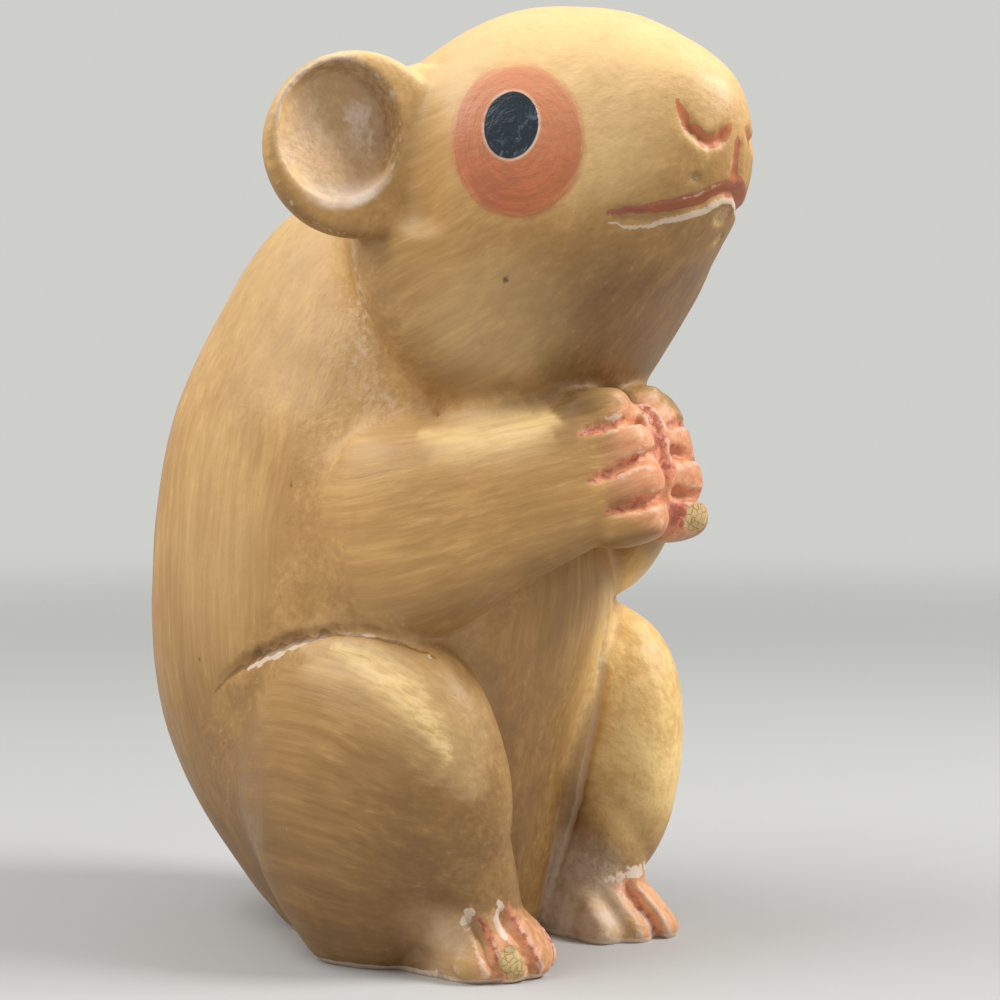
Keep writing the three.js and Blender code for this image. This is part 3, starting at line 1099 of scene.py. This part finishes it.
def ochre_coats(on):
    """Painted light as lighter ochre on the crown, the back, the ridges and the far leg, and painted shade
    as brown low down and underneath.
    """
    nodes, paint, mask, tone = on.nodes, on.paint, on.mask, on.tone
    times, ease = nodes.times, nodes.ease
    on.lay(ease(tone, 0.5, 0.85, 0, 0.7), paint.light_ochre)
    # Painted light: cream on the crown, where the top faces the light.
    on.lay(times(mask("crown"), ease(tone, 0.1, 0.6, 0.6, 1)), paint.cream)
    # Painted shade: brown low down, on the undersides, under the chin and on the belly.
    on.lay(times(mask("under"), ease(tone, 0.25, 0.75, 1, 0.7)), paint.brown)
    # Painted light: cream pools on the tops of the arm and thigh, on the face and on the back.
    on.lay(times(mask("pale"), ease(tone, 0.2, 0.7, 0.5, 0.8)), paint.cream)
    # Painted light on the far leg, which faces the light.
    lit_ochre = nodes.color(ease(tone, 0.35, 0.6), paint.light_ochre, paint.lit_ochre)
    on.lay(times(mask("far_leg"), ease(on.cloud, 0.3, 0.6, 0.75, 1)), lit_ochre)
    # Painted highlight along the arm's top and the thigh's ridge.
    on.lay(times(mask("bright"), ease(on.fine, 0.36, 0.6, 0.35, 0.9)), paint.lit_ochre)
    on.lay(times(ease(on.blotch, 0.52, 0.72), 0.18), paint.brown_ochre)


def dust_and_bowl_light_coats(on):
    """Dusty glaze in the valleys and the ears' bowls, painted light, shade and highlights in the bowls, and
    scuffs. Gives back where it is dull.
    """
    nodes, paint, mask = on.nodes, on.paint, on.mask
    cloud, blotch, grain, fine = on.cloud, on.blotch, on.grain, on.fine
    times, ease = nodes.times, nodes.ease
    dusty = times(on.patchy(times(mask("valley"), 0.7), blotch, 1.6), 0.25)
    on.lay(dusty, paint.dust)
    speckle = ease(nodes.plus(blotch, times(grain, 0.5)), 0.5, 1.0, 0.35, 0.85)
    on.lay(times(mask("inner_leg"), speckle), paint.gesso_and_highlight)
    mottle = ease(nodes.plus(times(blotch, 0.6), times(grain, 0.4)), 0.4, 0.62)
    pale = nodes.color(ease(grain, 0.35, 0.65), paint.patch_pale, paint.light_ochre)
    pale = nodes.color(ease(cloud, 0.35, 0.6, 0.3, 0.85), pale, paint.gesso_and_highlight)
    glaze = nodes.color(ease(mottle, 0, 1, 0.45, 1), paint.dust, pale)
    # Painted light: the ears' bowls are laid lighter.
    on.lay(times(mask("bowl"), 0.6), paint.lit_ochre)
    on.lay(times(mask("bowl"), ease(cloud, 0.3, 0.6, 0.45, 0.85)), glaze)
    # Painted shade on the bowl's steep inner wall.
    on.lay(times(times(mask("wall"), ease(grain, 0.35, 0.6, 0.2, 0.75)), 0.85), paint.brown)
    # Painted highlights: pale glints in the bowl and along its lower lip.
    daubs = on.patchy(times(mask("daubs"), 0.62), blotch, 1.6)
    on.lay(times(daubs, ease(fine, 0.35, 0.6, 0.5, 0.9)), paint.highlight)
    on.lay(times(mask("bowl_lip"), ease(blotch, 0.35, 0.55, 0.4, 0.95)), paint.highlight)
    on.lay(times(mask("foot_side"), ease(blotch, 0.35, 0.6, 0.12, 0.35)), paint.gesso_and_highlight)
    scuffs = times(mask("scuffs"), ease(grain, 0.4, 0.7))
    scuffs = times(scuffs, ease(blotch, 0.4, 0.62, 0.1, 0.55))
    on.lay(scuffs, paint.gesso_and_highlight)
    on.lay(times(ease(fine, 0.62, 0.76), 0.14), paint.cream)
    return nodes.most(dusty, scuffs)


def pink_coats(on):
    """Pink fingers and toes with deep lines between them as painted shade and pale edges as painted
    highlights, the nostrils, and the mouth with its lip painted as a highlight.
    """
    nodes, paint, mask = on.nodes, on.paint, on.mask
    cloud, blotch, grain = on.cloud, on.blotch, on.grain
    times, ease = nodes.times, nodes.ease
    loose = times(nodes.minus(on.tone, 0.5), 1.3)
    hand = ease(nodes.plus(times(mask("hand"), 0.9), loose), 0.3, 0.95, 0, 0.75)
    foot = ease(nodes.plus(times(mask("foot"), 0.7), loose), 0.25, 0.9, 0, 0.7)
    pink = nodes.color(ease(on.tone, 0.35, 0.65), paint.pink, paint.light_pink)
    on.lay(nodes.most(hand, foot), pink)
    face = nodes.color(ease(blotch, 0.4, 0.6), paint.deep_pink, paint.patch_deep)
    on.lay(times(on.patchy(mask("mouth"), blotch, 0.5), 0.85), face)
    # Painted shade: deeper in the nostril's hollow.
    nostril = nodes.color(ease(mask("hollow"), 0.4, 1), paint.patch, paint.patch_deep)
    on.lay(times(on.patchy(mask("nostril"), blotch, 0.4), 0.9), nostril)
    # Painted shade: deep pink in the cuts between the fingers and the toes and in the hands' seam.
    deep = nodes.color(ease(grain, 0.4, 0.6), paint.deep_pink, paint.pink)
    on.lay(times(mask("lines"), ease(blotch, 0.3, 0.5, 0.6, 0.95)), deep)
    # Painted highlights along the edges of the cuts and on the lower lip.
    gaps = ease(nodes.plus(cloud, times(blotch, 0.8)), 0.84, 0.98)
    edges = times(on.patchy(times(mask("line_edges"), gaps), grain, 0.6), 0.8)
    lip = times(mask("lip"), ease(cloud, 0.36, 0.5, 0.5, 1))
    on.lay(nodes.most(edges, times(on.patchy(lip, blotch, 0.7), 0.7)), paint.gesso_and_highlight)


def wear_and_light_coats(on):
    """Rubbed paint and painted highlights on ridges and crease edges, painted shade in the thigh's creases,
    and bare cracked wood in the chips.

    Gives back where the ridges and edges are pale, where the paint is chipped off, and the height of the
    wood's cracks.
    """
    nodes, paint, mask = on.nodes, on.paint, on.mask
    blotch, grain = on.blotch, on.grain
    times, ease = nodes.times, nodes.ease
    crease_edge = times(mask("crease_edge"), ease(on.cloud, 0.42, 0.5))
    # Pale gesso on the ridges, the highlight bands and the crease edges is partly rubbed paint and partly
    # painted highlight; at the bottom rim it is rubbed paint.
    rubbed_and_highlit = nodes.most(
        times(on.patchy(times(mask("ridge"), 0.8), grain, 1.8), 0.45),
        times(mask("bright"), ease(on.fine, 0.5, 0.7, 0, 0.3)),
        times(on.patchy(mask("belly_edge"), blotch, 1.2), 0.4),
        times(on.patchy(crease_edge, grain, 0.8), 0.8),
        times(on.patchy(mask("rim"), blotch, 1.2), 0.7),
    )
    on.lay(rubbed_and_highlit, paint.gesso_and_highlight)
    # Painted shade in the thigh's crease.
    on.lay(times(on.patchy(mask("crease"), blotch, 0.8), 0.6), paint.brown)
    chips = on.patchy(mask("bare"), grain, 0.9)
    cells = nodes.add("TexVoronoi", {"Vector": on.place, "Scale": 520.0}, feature="DISTANCE_TO_EDGE")
    cracks = ease(nodes.plus(cells.outputs["Distance"], times(grain, 0.2)), 0.1, 0.2)
    wood = nodes.color(ease(blotch, 0.4, 0.6), paint.bare, paint.dust)
    on.lay(chips, nodes.color(cracks, paint.brown_ochre, wood))
    on.lay(times(mask("flecks"), 0.85), paint.dark)
    return rubbed_and_highlit, chips, cracks


def eye_coats(on):
    """A soft pink patch, brushed round and round, and a dark pupil with a thin pale edge.

    Gives back where the patch and the pupil are, and the height of the patch's strokes.
    """
    nodes, paint = on.nodes, on.paint
    times, ease, minus = nodes.times, nodes.ease, nodes.minus
    sides = nodes.add("SeparateXYZ", {0: on.place}).outputs
    near = times(nodes.math("ABSOLUTE", sides[0]), -1.0)
    near = nodes.add("CombineXYZ", {0: near, 1: sides[1], 2: sides[2]}).outputs[0]
    off = nodes.vector("SUBTRACT", near, tuple(EYE_MIDDLE))
    ways = (EYE_ACROSS, EYE_UP, EYE_OUT)
    across, upward, out = (nodes.vector("DOT_PRODUCT", off, tuple(way)) for way in ways)
    front = ease(out, -0.03, -0.02)

    def oval(dx, dz, wide, high):
        a = nodes.math("DIVIDE", minus(across, dx), wide)
        b = nodes.math("DIVIDE", minus(upward, dz), high)
        return nodes.math("SQRT", nodes.plus(times(a, a), times(b, b)))

    patch_far = oval(*PATCH_MIDDLE, *PATCH_SIZE)
    turn = nodes.math("ARCTAN2", minus(upward, PATCH_MIDDLE[1]), minus(across, PATCH_MIDDLE[0]))
    round_about = {1: nodes.math("SINE", turn), 2: nodes.math("COSINE", turn)}
    rings = nodes.add("CombineXYZ", {0: times(patch_far, 9.0), **round_about}).outputs[0]
    strokes = nodes.noise(rings, 1.6, 4, 0.6, 0.3)
    patch = nodes.plus(patch_far, times(minus(strokes, 0.5), 0.2))
    patch = times(ease(patch, 0.92, 1.08, 1, 0), front)
    color = nodes.color(ease(strokes, 0.35, 0.65), paint.patch_deep, paint.patch)
    color = nodes.color(ease(upward, -0.022, 0.018, 0, 0.7), color, paint.patch_pale)
    on.lay(times(patch, ease(strokes, 0.25, 0.6, 0.82, 1)), color)
    pupil_far = nodes.plus(oval(times(upward, 0.06), 0.0, *PUPIL_SIZE), times(minus(on.blotch, 0.5), 0.12))
    rim = times(ease(pupil_far, 1.02, 1.1, 1, 0), front)
    pupil = times(ease(pupil_far, 0.96, 1.0, 1, 0), front)
    on.lay(times(rim, ease(on.blotch, 0.35, 0.6, 0.2, 0.85)), paint.gesso_and_highlight)
    swirl = nodes.noise(nodes.vector("MULTIPLY", off, (1.0, 1.0, 0.6)), 300, 3, 0.6, 1.6)
    swirl = times(ease(swirl, 0.52, 0.66), ease(minus(upward, across), 0.004, -0.008, 0.1, 0.7))
    on.lay(pupil, nodes.color(swirl, paint.pupil, paint.pupil_light))
    return patch, pupil, strokes


def painted_wood(paint, strokes, broken):
    """Hand-brushed ochre paint with pink hands, feet and eye patches, rubbed thin on ridges and in cuts,
    and with painted light, shade and highlights.
    """
    material, nodes, shader = new_material("painted_wood")
    on = Coats(nodes, paint, strokes, broken)
    plus, times = nodes.plus, nodes.times
    ochre_coats(on)
    dull = dust_and_bowl_light_coats(on)
    pink_coats(on)
    rubbed_and_highlit, chips, cracks = wear_and_light_coats(on)
    patch, pupil, round_strokes = eye_coats(on)
    nodes.feed(shader["Base Color"], on.color)
    nodes.feed(shader["Specular IOR Level"], 0.4)

    smooth, rough = paint.gloss_rough, paint.gloss_rough + 0.18
    gloss = nodes.ease(plus(on.fine, times(on.blotch, 0.6)), 0.6, 1.05, smooth, rough)
    gloss = nodes.between(nodes.most(rubbed_and_highlit, chips, dull), gloss, 0.75)
    nodes.feed(shader["Roughness"], nodes.between(pupil, gloss, 0.2))

    # Relief of the brush, of small lumps in the paint, and of the paint's own thickness at a chip.
    gritty = nodes.ease(nodes.most(on.mask("scuffs"), on.mask("bowl")), 0, 1, 0.12, 0.6)
    height = plus(times(on.fine, 0.5), times(on.broad, 0.9))
    for lump in (
        times(on.blotch, 1.1),
        times(on.grain, gritty),
        times(chips, times(nodes.minus(cracks, 2.0), 0.4)),
        times(patch, times(round_strokes, 0.7)),
        times(pupil, 0.5),
    ):
        height = plus(height, lump)
    nodes.feed(shader["Normal"], nodes.bump(height, 0.0005, 0.75))
    return material


def bare_underside(paint, strokes, broken):
    """The unpainted underside: end grain with drips of paint at its edge."""
    material, nodes, shader = new_material("bare_underside")
    place = nodes.add("TexCoord").outputs["Object"]
    pith = nodes.vector("ADD", place, (0.06, 0.03, 0))
    names = {"Vector": pith, "Scale": 70.0, "Distortion": 3.0, "Detail": 3.0}
    rings = nodes.add("TexWave", names, wave_type="RINGS", rings_direction="Z").outputs["Fac"]
    grain = nodes.group(strokes, {"Vector": place, "Along": 60.0, "Across": 700.0, "Wander": 0.002})
    color = nodes.color(nodes.times(rings, 0.6), paint.bare, paint.brown_ochre)
    color = nodes.color(nodes.ease(grain, 0.5, 0.8, 0, 0.5), color, paint.brown)
    edge = {"Mask": nodes.attribute("ridge"), "Grain": nodes.noise(place, 120, 3), "Rough": 1.5}
    nodes.feed(shader["Base Color"], nodes.color(nodes.group(broken, edge), color, paint.ochre))
    nodes.feed(shader["Roughness"], nodes.between(grain, 0.6, 0.85))
    nodes.feed(shader["Normal"], nodes.bump(grain, 0.0003, 0.6))
    return material


class CarveMouse(bpy.types.Operator):
    """Carve the mouse from its forms, with the cuts of its face, hands and feet, and paint it"""

    bl_idname = "mouse.carve"
    bl_label = "Carve and paint the mouse"

    def execute(self, context):
        settings = context.scene.mouse_sizes
        mesh = carve_forms()
        obj = bpy.data.objects.new("painted_mouse", mesh)
        context.scene.collection.objects.link(obj)
        remesh = obj.modifiers.new("One skin", "REMESH")
        remesh.mode = "VOXEL"
        remesh.voxel_size = settings.skin_step
        obj.data = baked(obj, "painted_mouse")
        surface = Surface(obj.data)
        carve_ears(surface.points)
        surface.write()
        obj.data = baked(obj, "painted_mouse")
        obj.modifiers.clear()
        surface = Surface(obj.data)
        blend_forms(surface)
        carve_details(surface, settings)
        surface.write()
        stand_flat(obj.data)
        fewer = obj.modifiers.new("Fewer faces", "DECIMATE")
        fewer.ratio = min(1, settings.most_faces / (2 * len(obj.data.polygons)))
        obj.data = baked(obj, "painted_mouse")
        obj.modifiers.clear()
        obj.data.shade_smooth()
        paint_zones(obj.data)
        paint = context.scene.mouse_paint
        strokes, broken = brush_strokes(), broken_mask()
        obj.data.materials.clear()
        obj.data.materials.append(painted_wood(paint, strokes, broken))
        obj.data.materials.append(bare_underside(paint, strokes, broken))
        for face in obj.data.polygons:
            face.material_index = int(face.normal.z < -0.95 and face.center.z < 0.0004)
        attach(obj, "root")
        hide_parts("mouse")
        return {"FINISHED"}


class SetStage(bpy.types.Operator):
    """Lay the floor, and set the lights and the camera"""

    bl_idname = "mouse.stage"
    bl_label = "Set the stage"

    def execute(self, context):
        scene = context.scene
        stage = scene.mouse_stage
        bm = bmesh.new()
        bmesh.ops.create_circle(bm, cap_ends=True, segments=96, radius=stage.floor_radius)
        mesh = bpy.data.meshes.new("floor")
        bm.to_mesh(mesh)
        bm.free()
        floor = bpy.data.objects.new("floor", mesh)
        scene.collection.objects.link(floor)
        material = bpy.data.materials.new("pale floor")
        material.use_nodes = True
        shader = material.node_tree.nodes["Principled BSDF"]
        shader.inputs["Base Color"].default_value = (*stage.floor_color, 1)
        shader.inputs["Roughness"].default_value = 0.6
        # The floor thins out behind the figure, so that it meets the wall with no line.
        nodes = Nodes(material.node_tree)
        flat = nodes.vector("MULTIPLY", nodes.add("TexCoord").outputs["Object"], (1.0, 1.0, 0.0))
        far = nodes.vector("LENGTH", flat)
        thins, gone = stage.floor_radius * 0.4, stage.floor_radius * 0.95
        nodes.feed(shader.inputs["Alpha"], nodes.ease(far, thins, gone, 1, 0))
        mesh.materials.append(material)

        world = bpy.data.worlds.new("studio")
        world.use_nodes = True
        nodes = Nodes(world.node_tree)
        background = world.node_tree.nodes["Background"]
        background.inputs["Color"].default_value = (*stage.wall_color, 1)
        seen = nodes.add("LightPath").outputs["Is Camera Ray"]
        nodes.feed(background.inputs["Strength"], nodes.between(seen, stage.fill_strength, 1.0))
        scene.world = world

        scene.view_settings.view_transform = "Standard"
        for name, power, size, place in (
            ("window", stage.key_power, 1.2, (-0.75, 0.55, 1.25)),
            ("ceiling", stage.top_power, 0.45, (0.45, -0.75, 1.0)),
        ):
            lamp = bpy.data.lights.new(name, "AREA")
            lamp.size, lamp.energy = size, power
            light = bpy.data.objects.new(name, lamp)
            light.location = place
            toward = Vector((0, 0, HEIGHT / 2)) - light.location
            light.rotation_euler = toward.to_track_quat("-Z", "Y").to_euler()
            scene.collection.objects.link(light)

        lens = bpy.data.cameras.new("camera")
        camera = bpy.data.objects.new("camera", lens)
        scene.collection.objects.link(camera)
        turn, rise = stage.camera_turn, stage.camera_rise
        back = Vector((math.sin(turn) * math.cos(rise), -math.cos(turn) * math.cos(rise), math.sin(rise)))
        aside = Vector((math.cos(turn), math.sin(turn), 0)) * 0.05 * HEIGHT
        aim = aside + Vector((0, -0.0043 * HEIGHT, 0.478 * HEIGHT))
        camera.location = aim + back * stage.camera_distance
        camera.rotation_euler = (-back).to_track_quat("-Z", "Y").to_euler()
        lens.sensor_width = 36
        lens.lens = stage.camera_lens
        lens.clip_start, lens.clip_end = 0.05, 50
        scene.camera = camera
        return {"FINISHED"}


def cut_depth(name, description, default):
    return FloatProperty(name=name, description=description, default=default, unit="LENGTH", precision=4)


class MouseSizes(bpy.types.PropertyGroup):
    skin_step: FloatProperty(
        name="Skin step",
        description="How fine the carved skin's mesh is",
        default=0.001,
        min=0.0005,
        unit="LENGTH",
    )
    most_faces: IntProperty(
        name="Most faces", description="How many triangles the figure may have", default=190000
    )
    mouth_depth: cut_depth("Mouth", "Depth of the mouth's cut", 0.0022)
    nostril_depth: cut_depth("Nostrils", "Depth of the nostrils' cuts", 0.0016)
    finger_depth: cut_depth("Fingers", "Depth of the cuts between the fingers", 0.0026)
    toe_depth: cut_depth("Toes", "Depth of the cuts between the toes", 0.003)
    crease_depth: cut_depth("Creases", "Depth of the creases over the thighs", 0.0022)
    chisel_depth: cut_depth("Chisel marks", "Depth of the low facets all over", 0.0003)


def paint_color(name, description, default):
    return FloatVectorProperty(
        name=name, description=description, default=default, subtype="COLOR", min=0, max=1
    )


class PaintColors(bpy.types.PropertyGroup):
    ochre: paint_color("Ochre", "The main coat", (0.61, 0.345, 0.118))
    light_ochre: paint_color("Light ochre", "Thin and pale strokes of the main coat", (0.78, 0.49, 0.175))
    # Painted light: laid where light falls on the far leg and the ridges, and in the ears' bowls.
    lit_ochre: paint_color("Sunny ochre", "The palest coat, on the far leg and on ridges", (0.95, 0.67, 0.28))
    brown_ochre: paint_color("Brown ochre", "Thick and dark strokes of the main coat", (0.46, 0.245, 0.08))
    # Also painted light: on the crown and on lit patches of the arm, the thigh, the face and the back.
    cream: paint_color("Cream", "The lighter coat on the crown and the upper back", (0.86, 0.59, 0.275))
    # Painted shade low down, on the undersides, under the chin, in the thigh's creases and on the ears'
    # inner walls; also the dark grain of the underside.
    brown: paint_color("Brown", "Grime low down and on the undersides", (0.19, 0.096, 0.028))
    dark: paint_color("Dark", "Small nicks in the paint", (0.08, 0.05, 0.03))
    dust: paint_color("Dust", "Glaze that has gathered in the valleys", (0.46, 0.29, 0.16))
    # Painted highlights in the ears' bowls and on their lower lips.
    highlight: paint_color("Highlight", "The palest daubs in the ears", (0.92, 0.76, 0.62))
    # Also the colour of painted highlights along cut edges, on the lower lip and on ridges.
    gesso_and_highlight: paint_color("Gesso", "Pale ground that shows where the paint is rubbed", (0.76, 0.62, 0.50))
    pink: paint_color("Pink", "Fingers and toes", (0.78, 0.27, 0.15))
    light_pink: paint_color("Light pink", "Pale strokes on the fingers and toes", (0.88, 0.47, 0.27))
    deep_pink: paint_color("Deep pink", "The cuts in the pink parts, and the mouth", (0.38, 0.105, 0.07))
    patch: paint_color("Eye patch", "The patch round each eye", (0.58, 0.175, 0.07))
    patch_deep: paint_color("Deep eye patch", "Darker strokes of the patch", (0.44, 0.125, 0.055))
    patch_pale: paint_color("Pale eye patch", "The patch above the eye", (0.72, 0.30, 0.15))
    pupil: paint_color("Pupil", "The dark of the eye", (0.022, 0.032, 0.042))
    pupil_light: paint_color("Pupil strokes", "Lighter strokes in the dark of the eye", (0.13, 0.16, 0.18))
    bare: paint_color("Bare wood", "Wood where the paint has gone", (0.60, 0.44, 0.20))
    gloss_rough: FloatProperty(
        name="Gloss",
        description="Roughness of the glossiest paint",
        default=0.38,
        min=0,
        max=1,
        subtype="FACTOR",
    )


class StageSettings(bpy.types.PropertyGroup):
    floor_radius: FloatProperty(
        name="Floor radius", description="Half the width of the floor", default=1.6, unit="LENGTH"
    )
    floor_color: FloatVectorProperty(
        name="Floor colour", description="Colour of the floor", default=(0.5, 0.5, 0.49), subtype="COLOR"
    )
    wall_color: FloatVectorProperty(
        name="Wall colour",
        description="Colour of the light all round",
        default=(0.62, 0.62, 0.6),
        subtype="COLOR",
    )
    fill_strength: FloatProperty(
        name="Fill light", description="Strength of the light all round", default=0.68
    )
    key_power: FloatProperty(
        name="Window light", description="Power of the large soft light", default=18, unit="POWER"
    )
    top_power: FloatProperty(
        name="Ceiling light", description="Power of the smaller light", default=14, unit="POWER"
    )
    camera_turn: FloatProperty(
        name="Camera turn", description="Azimuth of the camera", default=math.radians(-50), subtype="ANGLE"
    )
    camera_rise: FloatProperty(
        name="Camera rise",
        description="Elevation of the camera",
        default=math.radians(3.6),
        subtype="ANGLE",
    )
    camera_distance: FloatProperty(
        name="Camera distance", description="From the camera to the figure", default=0.84, unit="LENGTH"
    )
    camera_lens: FloatProperty(name="Camera lens", description="Focal length in millimetres", default=98.8)


class MousePanel(bpy.types.Panel):
    """The mouse's sizes and steps"""

    bl_idname = "VIEW3D_PT_wooden_mouse"
    bl_label = "Wooden mouse"
    bl_space_type = "VIEW_3D"
    bl_region_type = "UI"
    bl_category = "Mouse"

    def draw(self, context):
        layout = self.layout
        scene = context.scene
        figure = ((scene.mouse_sizes, scene.mouse_paint), CarveMouse)
        for groups, step in (figure, ((scene.mouse_stage,), SetStage)):
            column = layout.column(align=True)
            for group in groups:
                for name in group.__annotations__:
                    column.prop(group, name)
            column.operator(step.bl_idname)


CLASSES = (MouseSizes, PaintColors, StageSettings, CarveMouse, SetStage, MousePanel)


def register():
    for cls in CLASSES:
        bpy.utils.register_class(cls)
    bpy.types.Scene.mouse_sizes = PointerProperty(type=MouseSizes)
    bpy.types.Scene.mouse_paint = PointerProperty(type=PaintColors)
    bpy.types.Scene.mouse_stage = PointerProperty(type=StageSettings)


def unregister():
    del bpy.types.Scene.mouse_stage
    del bpy.types.Scene.mouse_paint
    del bpy.types.Scene.mouse_sizes
    for cls in reversed(CLASSES):
        bpy.utils.unregister_class(cls)


def main():
    register()
    bpy.ops.mouse.carve()
    bpy.ops.mouse.stage()


if __name__ == "__main__":
    main()
